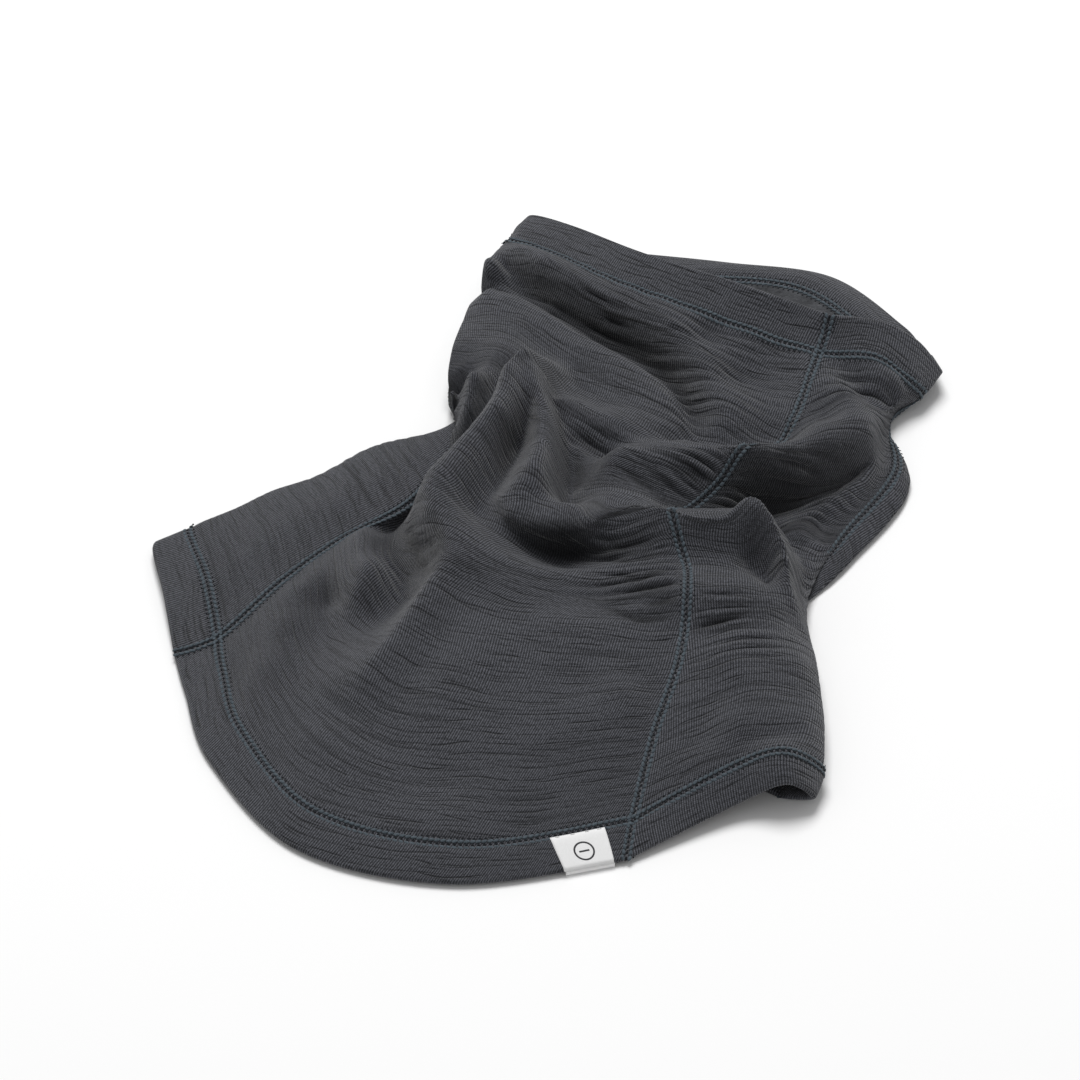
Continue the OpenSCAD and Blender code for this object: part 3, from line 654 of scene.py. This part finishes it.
def tape_material(name):
    """White woven tape with a fine plain weave."""
    mat, shader, w = new_material(name, 0.7, 0.1)
    split = w.node("ShaderNodeSeparateXYZ")
    w.feed(split.inputs[0], cloth_coordinates(w))
    warp = w.math("SINE", w.math("MULTIPLY", split.outputs[0], 2 * math.pi / (0.45 * MM)))
    weft = w.math("SINE", w.math("MULTIPLY", split.outputs[1], 2 * math.pi / (0.4 * MM)))
    weave = w.math("MULTIPLY_ADD", w.math("MULTIPLY", warp, weft), 0.5, 0.5)
    w.feed(shader.inputs["Base Color"], tint(w, weave, (0.82, 0.82, 0.82), (0.93, 0.93, 0.93)))
    relief = w.node("ShaderNodeBump")
    relief.inputs["Distance"].default_value = 0.06 * MM
    w.feed(relief.inputs["Height"], weave)
    w.feed(shader.inputs["Normal"], relief.outputs[0])
    return mat


ribs = knit_group()
KNIT = knit_material("charcoal_double_knit", ribs, (0.0035, 0.0039, 0.0046), (0.124, 0.128, 0.147), 0.55)
BRUSHED = brushed_material("brushed_inside")
THREAD = plain_yarn("slate_blue_thread", (0.024, 0.034, 0.043), (0.082, 0.106, 0.126), 900.0, 0.12)
# near-black beads: painted shade standing in for the inside of the needle holes
HOLE_SHADE = plain_yarn("needle_hole_shade", (0.006, 0.007, 0.009), (0.014, 0.016, 0.02), 900.0, 0.05, 0.95, 0.0)
TAPE = tape_material("white_woven_tape")
PRINT = plain_yarn("black_label_print", (0.02, 0.02, 0.022), (0.045, 0.045, 0.05), 1500.0, 0.02, 0.6, 0.0)
WHITE_THREAD = plain_yarn("white_label_thread", (0.7, 0.7, 0.7), (0.9, 0.9, 0.9), 1500.0, 0.05)

# ---------------------------------------------------------------- panels
FRONT = [FRONT_LEFT_SEAM, LEFT_SHOULDER, FRONT_LEFT, FRONT_MIDDLE, FRONT_RIGHT, FRONT_RIGHT_SEAM]
RIGHT_SIDE = [FRONT_RIGHT_SEAM, SIDE_CREST, SIDE_SHOULDER, RIGHT_FOLD, BACK_RIGHT_SEAM]
BACK = [BACK_RIGHT_SEAM, BACK_OUTLINE, BACK_RIGHT, BACK_MIDDLE, BACK_LEFT, BACK_LEFT_SEAM]
LEFT_SIDE = [BACK_LEFT_SEAM, LEFT_UNDERSIDE, LEFT_FOLD, LEFT_MIDDLE, FRONT_LEFT_SEAM]

ROWS = steps([24, 48, 46, 46, 48, 46, 46, 44, 24])
LOWER_ROWS = steps([16, 20, 20, 22, 22, 24, 26, 34, 20])

base = np.concatenate([loft(FRONT, steps([3] * 5), steps([3] * 9)).reshape(-1, 3),
                       loft(RIGHT_SIDE, np.linspace(0.34, 2.6, 9), steps([3] * 9)).reshape(-1, 3)])
heights = FoldHeights(base)


def lifted_front(u, v):
    """Share of the fold heights: none at the left seam or the hem edges."""
    return smooth(u, 0.0, 0.7)[:, None] * (smooth(v, 0.9, 1.6) * (1 - smooth(v, 8.4, 9.0)))[None]


def lifted_side(u, v):
    """The same for the side: all at the front seam, none where it turns under."""
    return (1 - smooth(u, 1.9, 2.7))[:, None] * (smooth(v, 0.9, 1.6) * (1 - smooth(v, 8.4, 9.0)))[None]


front = Panel("front_panel_cloth", FRONT, steps([12, 18, 28, 30, 26]), ROWS, heights, lifted_front, 2.5, 11,
              calm=30.0)
right = Panel("right_side_panel_cloth", RIGHT_SIDE, steps([18, 16, 10, 10]), ROWS, heights,
              lifted_side, 1.2, 31)
back = Panel("back_panel_cloth", BACK, steps([8, 22, 26, 26, 30]), LOWER_ROWS, None, None, 2.5, 51)
left = Panel("left_side_panel_cloth", LEFT_SIDE, steps([22, 8, 10, 16]), ROWS, None, None, 3.0, 71)
for node, panel in (("front_panel", front), ("right_side_panel", right), ("back_panel", back),
                    ("left_side_panel", left)):
    obj = panel.build(KNIT, BRUSHED)
    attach(obj, "root")
    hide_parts(node)


# ---------------------------------------------------------------- stitching
def stitch_tree():
    """Two columns of slanted thread and three lines of dark beads painted as the shade in needle holes,
    repeated along a path of points.
    """
    tree = bpy.data.node_groups.new("braided_stitch_band", "GeometryNodeTree")
    face = tree.interface
    face.new_socket(name="Path", in_out="INPUT", socket_type="NodeSocketGeometry")
    for label, value in (("Stitch Length", 3.2 * MM), ("Thread Width", 1.75 * MM),
                         ("Thread Height", 0.9 * MM), ("Column Offset", 1.6 * MM),
                         ("Hole Offset", 3.15 * MM), ("Slant", 0.3), ("Hole Size", 0.95 * MM)):
        face.new_socket(name=label, in_out="INPUT", socket_type="NodeSocketFloat").default_value = value
    face.new_socket(name="Thread", in_out="INPUT", socket_type="NodeSocketMaterial")
    face.new_socket(name="Hole", in_out="INPUT", socket_type="NodeSocketMaterial")
    face.new_socket(name="Band", in_out="OUTPUT", socket_type="NodeSocketGeometry")
    w = Wiring(tree)
    ins, outs = w.node("NodeGroupInput"), w.node("NodeGroupOutput")

    def bead(length, width, height, across, turn, along=0.0):
        ball = w.node("GeometryNodeMeshUVSphere")
        ball.inputs["Segments"].default_value = 8
        ball.inputs["Rings"].default_value = 5
        ball.inputs["Radius"].default_value = 0.5
        shape = w.node("GeometryNodeTransform")
        w.feed(shape.inputs["Geometry"], ball.outputs[0])
        w.feed(shape.inputs["Scale"], w.vector(length, width, height))
        put = w.node("GeometryNodeTransform")
        w.feed(put.inputs["Geometry"], shape.outputs[0])
        w.feed(put.inputs["Translation"], w.vector(along, across, 0.0))
        w.feed(put.inputs["Rotation"], w.vector(0.0, 0.0, turn))
        smooth_shade = w.node("GeometryNodeSetShadeSmooth")
        w.feed(smooth_shade.inputs[0], put.outputs[0])
        return smooth_shade.outputs[0]

    g = {s.name: s for s in ins.outputs}
    off, slant = g["Column Offset"], g["Slant"]
    threads = [bead(g["Stitch Length"], g["Thread Width"], g["Thread Height"], off, slant),
               bead(g["Stitch Length"], g["Thread Width"], g["Thread Height"],
                    w.math("MULTIPLY", off, -1.0), w.math("MULTIPLY", slant, -1.0))]
    size, out = g["Hole Size"], g["Hole Offset"]
    flat = w.math("MULTIPLY", size, 0.35)
    ahead = 0.8 * MM
    holes = [bead(size, size, flat, out, 0.0, ahead),
             bead(size, size, flat, w.math("MULTIPLY", out, -1.0), 0.0, ahead),
             bead(w.math("MULTIPLY", size, 1.5), size, w.math("MULTIPLY", flat, 1.6), 0.0, 0.0)]
    up = w.node("GeometryNodeInputNamedAttribute", data_type="FLOAT_VECTOR")
    up.inputs["Name"].default_value = "up"
    along = w.node("GeometryNodeInputNamedAttribute", data_type="FLOAT_VECTOR")
    along.inputs["Name"].default_value = "along"
    turn = w.node("FunctionNodeAxesToRotation", primary_axis="Z", secondary_axis="X")
    w.feed(turn.inputs[0], up.outputs[0])
    w.feed(turn.inputs[1], along.outputs[0])
    join_all = w.node("GeometryNodeJoinGeometry")
    for beads, socket in ((threads, g["Thread"]), (holes, g["Hole"])):
        join = w.node("GeometryNodeJoinGeometry")
        for b in beads:
            tree.links.new(b, join.inputs[0])
        spread = w.node("GeometryNodeInstanceOnPoints")
        w.feed(spread.inputs["Points"], ins.outputs["Path"])
        w.feed(spread.inputs["Instance"], join.outputs[0])
        w.feed(spread.inputs["Rotation"], turn.outputs[0])
        real = w.node("GeometryNodeRealizeInstances")
        w.feed(real.inputs[0], spread.outputs[0])
        paint = w.node("GeometryNodeSetMaterial")
        w.feed(paint.inputs["Geometry"], real.outputs[0])
        w.feed(paint.inputs["Material"], socket)
        tree.links.new(paint.outputs[0], join_all.inputs[0])
    w.feed(outs.inputs["Band"], join_all.outputs[0])
    return tree


def even_path(points, ups, pitch):
    """Evenly spaced stations along a line, with the way along it and the way up from the cloth."""
    d = np.concatenate([[0], np.cumsum(np.linalg.norm(np.diff(points, axis=0), axis=1))])
    count = max(int(d[-1] / pitch), 2)
    at = (np.arange(count) + 0.5) * d[-1] / count
    p = np.stack([np.interp(at, d, points[:, k]) for k in range(3)], 1)
    up = np.stack([np.interp(at, d, ups[:, k]) for k in range(3)], 1)
    up /= np.linalg.norm(up, axis=1, keepdims=True)
    # a band that stands on its side needs more room over the floor
    p[:, 2] = np.maximum(p[:, 2], 1.1 + 3.3 * np.hypot(up[:, 0], up[:, 1]))
    along = np.gradient(p, axis=0)
    return p, up, along / np.linalg.norm(along, axis=1, keepdims=True)


STITCHES = stitch_tree()


def stitch_band(name, node, paths):
    """One seam's or hem's stitching along its paths, in place of a CAD node."""
    points, ups, alongs = [], [], []
    for line, up in paths:
        p, n, a = even_path(line, up, STITCH_PITCH)
        points.append(p)
        ups.append(n)
        alongs.append(a)
    p, up, along = np.concatenate(points), np.concatenate(ups), np.concatenate(alongs)
    mesh = bpy.data.meshes.new(name + "_path")
    mesh.from_pydata(place(p).tolist(), [], [])
    for label, values in (("up", up), ("along", along)):
        attribute = mesh.attributes.new(label, "FLOAT_VECTOR", "POINT")
        attribute.data.foreach_set("vector", values.astype(np.float32).ravel())
    source = bpy.data.objects.new(name + "_path", mesh)
    bpy.context.scene.collection.objects.link(source)
    modifier = source.modifiers.new("stitches", "NODES")
    modifier.node_group = STITCHES
    sockets = {s.name: s.identifier for s in STITCHES.interface.items_tree if s.in_out == "INPUT"}
    modifier[sockets["Thread"]] = THREAD
    modifier[sockets["Hole"]] = HOLE_SHADE
    bpy.context.view_layer.update()
    evaluated = source.evaluated_get(bpy.context.evaluated_depsgraph_get())
    made = bpy.data.meshes.new_from_object(evaluated)
    made.name = name
    obj = bpy.data.objects.new(name, made)
    bpy.context.scene.collection.objects.link(obj)
    bpy.data.objects.remove(source)
    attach(obj, "root")
    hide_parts(node)


def joined_edge(a, ia, b, ib, rise, inside=False, last=9.0):
    """The seam line between the edges of two panels, lifted clear of the cloth, up to one control row."""
    pa, pb = (a.inner[ia], b.inner[ib]) if inside else (a.outer[ia], b.outer[ib])
    va, vb = a.v, b.v
    pb = np.stack([np.interp(va, vb, pb[:, k]) for k in range(3)], 1)
    nb = np.stack([np.interp(va, vb, b.n[ib][:, k]) for k in range(3)], 1)
    up = a.n[ia] + nb
    up /= np.linalg.norm(up, axis=1, keepdims=True)
    up = -up if inside else up
    return ((pa + pb) / 2 + up * rise)[va <= last], up[va <= last]


def across_row(panel, row, rise, inside=False):
    """A line across a panel at one control row."""
    j = int(np.argmin(abs(panel.v - row)))
    p = panel.inner[:, j] if inside else panel.outer[:, j]
    up = -panel.n[:, j] if inside else panel.n[:, j]
    return p + up * rise, up


stitch_band("front_right_seam_thread", "front_right_seam", [joined_edge(front, -1, right, 0, RISE)])
# the left seam is drawn into the cloth where it runs under the fold
sunk = np.where(front.v > 5.3, -0.5, 0.4)[:, None]
stitch_band("front_left_seam_thread", "front_left_seam", [joined_edge(front, 0, left, -1, sunk)])
stitch_band("back_right_seam_thread", "back_right_seam", [joined_edge(right, -1, back, 0, RISE, last=7.9)])
stitch_band("back_left_seam_thread", "back_left_seam", [joined_edge(left, 0, back, -1, RISE, True)])


def hem_line(row):
    """The hem's stitch line, round the left side, the front and the right side."""
    return [across_row(panel, row, RISE + 0.1) for panel in (left, front, right)]


def chain(parts):
    """One line from several, each with its points and its ways up."""
    return np.concatenate([p for p, _ in parts]), np.concatenate([u for _, u in parts])


for node, row in (("top_hem_stitch", 8), ("bottom_hem_stitch", 1)):
    stitch_band(node + "_thread", node, [chain(hem_line(row)), across_row(back, row, 0.1, True)])


# ---------------------------------------------------------------- label
def label_surface():
    """Points of the label: across it, and from its top edge over the hem edge to its underside."""
    depth = front.from_hem.mean(0)
    rows = [k for k in range(len(front.v) // 4) if depth[k] <= LABEL_DEPTH][::-1]

    def on_front(grid, u, k):
        i = np.interp(u, front.u, np.arange(len(front.u)))
        f = i - int(i)
        return grid[int(i), k] * (1 - f) + grid[int(i) + 1, k] * f

    sheet = []
    for u in np.linspace(*LABEL_SPAN, 25):
        places = [(u - 0.0066 * depth[k], k) for k in rows]
        top = [on_front(front.outer, *p) + on_front(front.n, *p) * 0.45 for p in places]
        out = top[-1] - top[-5]
        out /= np.linalg.norm(out)
        middle, n = on_front(front.mid, u, rows[-3]), on_front(front.n, u, 2)
        for angle in np.linspace(60, -80, 8):
            r = math.radians(angle)
            top.append(middle + out * (1.35 * math.cos(r) + 1.0) + n * 1.75 * math.sin(r))
        start = top[-1]
        top += [np.array([*(start - out * k * 1.1)[:2], start[2]]) for k in range(1, 9)]
        sheet.append(top)
    return np.array(sheet)


label = label_surface()
label_n = -normals(label)
if label_n[:, :10, 2].mean() < 0:
    label_n = -label_n


def build_label():
    outer = label + label_n * 0.25
    inner = label - label_n * 0.25
    outer[..., 2] = np.maximum(outer[..., 2], 0.05)
    inner[..., 2] = np.maximum(inner[..., 2], 0.12)
    m, n = label.shape[:2]
    k = m * n
    top = grid_quads(m, n)[:, ::-1]
    i, j = np.arange(m - 1), np.arange(n - 1)
    b, e = (m - 1) * n, n - 1
    quads = np.concatenate([
        top, top[:, ::-1] + k,
        np.stack([j, j + 1, j + 1 + k, j + k], 1)[:, ::-1],
        np.stack([b + j + 1, b + j, b + j + k, b + j + 1 + k], 1)[:, ::-1],
        np.stack([(i + 1) * n, i * n, i * n + k, (i + 1) * n + k], 1)[:, ::-1],
        np.stack([i * n + e, (i + 1) * n + e, (i + 1) * n + e + k, i * n + e + k], 1)[:, ::-1]])
    points = place(np.concatenate([outer.reshape(-1, 3), inner.reshape(-1, 3)]))
    uv = np.stack([lengths(label, 0), lengths(label, 1)], 2)
    uv = np.concatenate([uv.reshape(-1, 2)] * 2) * MM
    obj = make_mesh("hem_label_tape", points, quads, uv, np.zeros(len(quads)), [TAPE])
    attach(obj, "root")
    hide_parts("hem_label")
    return obj


def on_label(x, y, rise):
    """A point on the label's face, x and y in millimetres from its middle."""
    wide, deep = lengths(label, 0), lengths(label, 1)
    i = np.interp(x + wide[-1, 8] / 2, wide[:, 8], np.arange(len(label)))
    j = np.interp(9.8 - y, deep[12], np.arange(label.shape[1]))
    a, b = min(int(i), len(label) - 2), min(int(j), label.shape[1] - 2)
    f, g = i - a, j - b

    def blend(grid):
        return ((grid[a, b] * (1 - f) + grid[a + 1, b] * f) * (1 - g)
                + (grid[a, b + 1] * (1 - f) + grid[a + 1, b + 1] * f) * g)
    return blend(label) + blend(label_n) * rise


def build_mark():
    """Generic mark: a ring with a short bar, printed on the label."""
    points, quads = [], []

    def strip(pairs, closed):
        start = len(points)
        for a, b in pairs:
            points.extend([on_label(*a, 0.32), on_label(*b, 0.32)])
            points.extend([on_label(*a, 0.24), on_label(*b, 0.24)])
        n = len(pairs)
        for s in range(n if closed else n - 1):
            p, q = start + 4 * s, start + 4 * ((s + 1) % n)
            quads.extend([[p, p + 1, q + 1, q], [p + 2, q + 2, q + 3, p + 3],
                          [p, q, q + 2, p + 2], [p + 1, p + 3, q + 3, q + 1]])
        if not closed:
            p, q = start, start + 4 * (n - 1)
            quads.extend([[p, p + 2, p + 3, p + 1], [q, q + 1, q + 3, q + 2]])
    ring = [math.radians(k * 360 / 48) for k in range(48)]
    within, without = 4.0, 4.8
    strip([((within * math.cos(t), within * math.sin(t)), (without * math.cos(t), without * math.sin(t)))
           for t in ring], True)
    strip([((x, 0.4), (x, -0.4)) for x in np.linspace(-2.4, 2.4, 7)], False)
    quads = np.array(quads)
    obj = make_mesh("label_mark_print", place(np.array(points)), quads, np.zeros((len(points), 2)),
                    np.zeros(len(quads)), [PRINT])
    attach(obj, "root")
    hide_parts("label_mark")


def build_label_thread():
    """Short white stitches that hold the label near its top edge."""
    bm = bmesh.new()
    for x in (-9.0, -2.0, 4.5, 10.0):
        made = bmesh.ops.create_uvsphere(bm, u_segments=8, v_segments=6, radius=0.5)
        a = on_label(x - 0.5, 9.4, 0.4)
        b = on_label(x + 0.5, 9.4, 0.4)
        way = (b - a) / np.linalg.norm(b - a)
        middle = Vector(place((a + b) / 2))
        turn = Vector(way).to_track_quat("X", "Z").to_matrix().to_4x4()
        size = Matrix.Diagonal((2.2 * MM, 0.5 * MM, 0.5 * MM, 1))
        bmesh.ops.transform(bm, matrix=Matrix.Translation(middle) @ turn @ size, verts=made["verts"])
    # a sphere's points and faces come in no fixed order, so they are put in one
    along = Vector((1.0, 0.37, 0.11))
    bm.verts.sort(key=lambda v: v.co.dot(along))
    bm.faces.sort(key=lambda f: f.calc_center_median().dot(along))
    mesh = bpy.data.meshes.new("label_holding_stitches")
    bm.to_mesh(mesh)
    bm.free()
    mesh.materials.append(WHITE_THREAD)
    obj = bpy.data.objects.new("label_holding_stitches", mesh)
    bpy.context.scene.collection.objects.link(obj)
    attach(obj, "root")
    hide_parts("label_stitches")


label_tape = build_label()
build_mark()
build_label_thread()


# ---------------------------------------------------------------- floor, light, camera
def floor():
    mesh = bpy.data.meshes.new("floor")
    s = 4.0
    mesh.from_pydata([(-s, -s, 0), (s, -s, 0), (s, s, 0), (-s, s, 0)], [], [(0, 1, 2, 3)])
    mat, shader, w = new_material("pale_floor", 0.9, 0.0, 0.5, 0.1)
    shader.inputs["Base Color"].default_value = (0.96, 0.96, 0.96, 1)
    mesh.materials.append(mat)
    obj = bpy.data.objects.new("floor", mesh)
    bpy.context.scene.collection.objects.link(obj)
    obj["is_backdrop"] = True


def soft_light(name, at, size, power, aim=(0, 0, 0)):
    data = bpy.data.lights.new(name, "AREA")
    data.shape, data.size, data.energy = "DISK", size, power
    obj = bpy.data.objects.new(name, data)
    obj.location = at
    obj.rotation_euler = (Vector(aim) - Vector(at)).to_track_quat("-Z", "Y").to_euler()
    bpy.context.scene.collection.objects.link(obj)


def camera():
    data = bpy.data.cameras.new("camera")
    data.sensor_width, data.lens, data.clip_end = 36.0, 217.0, 50.0
    azimuth, elevation, distance = math.radians(25), math.radians(45), 3.1
    away = Vector((math.sin(azimuth) * math.cos(elevation), -math.cos(azimuth) * math.cos(elevation),
                   math.sin(elevation)))
    obj = bpy.data.objects.new("camera", data)
    obj.location = FOOT + Vector((LAYOUT[0] * MM, LAYOUT[1] * MM, 0)) + away * distance
    obj.rotation_euler = (-away).to_track_quat("-Z", "Y").to_euler()
    bpy.context.scene.collection.objects.link(obj)
    bpy.context.scene.camera = obj


floor()
soft_light("key", (-0.9, 1.5, 3.5), 2.2, 125)
world = bpy.data.worlds.new("studio")
bpy.context.scene.world = world
world.use_nodes = True
world.node_tree.nodes["Background"].inputs["Color"].default_value = (1, 1, 1, 1)
world.node_tree.nodes["Background"].inputs["Strength"].default_value = 0.4
bpy.context.scene.view_settings.view_transform = "Standard"
camera()

bpy.context.view_layer.update()
low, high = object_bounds()
